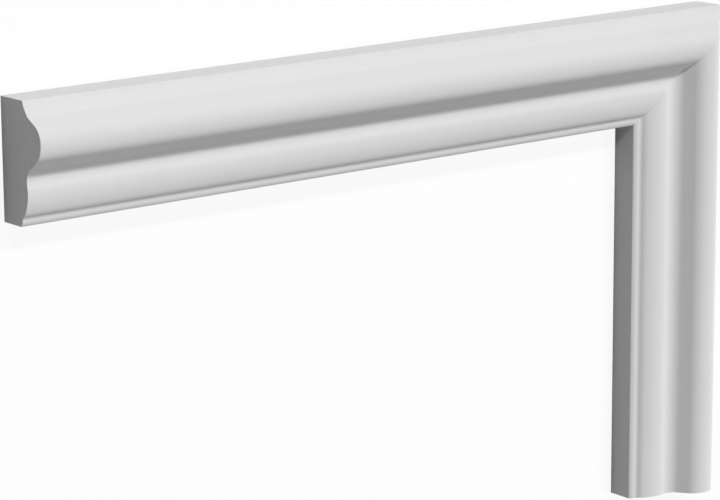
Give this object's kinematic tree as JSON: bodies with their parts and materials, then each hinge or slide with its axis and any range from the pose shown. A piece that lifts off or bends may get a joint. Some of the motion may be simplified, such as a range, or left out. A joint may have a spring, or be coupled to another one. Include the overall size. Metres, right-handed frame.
{
  "type": "panel moulding corner",
  "caption": "White profiled panel moulding mitred into an L-shaped corner with unequal legs; a torus, cove and ovolo run along its face and its flat back goes on a wall.",
  "frame": {"origin": "outer corner of the mitre, on the back face that goes against the wall", "axes": "+X along the long leg, +Y along the short leg, +Z out of the wall towards the viewer of the moulded face"},
  "size_m": [0.3, 0.18, 0.022],
  "materials": {
    "primed_polyurethane": "matt white primer, ready for paint"
  },
  "bodies": {
    "root": {"long_leg": "primed_polyurethane", "short_leg": "primed_polyurethane"}
  },
  "joints": []
}
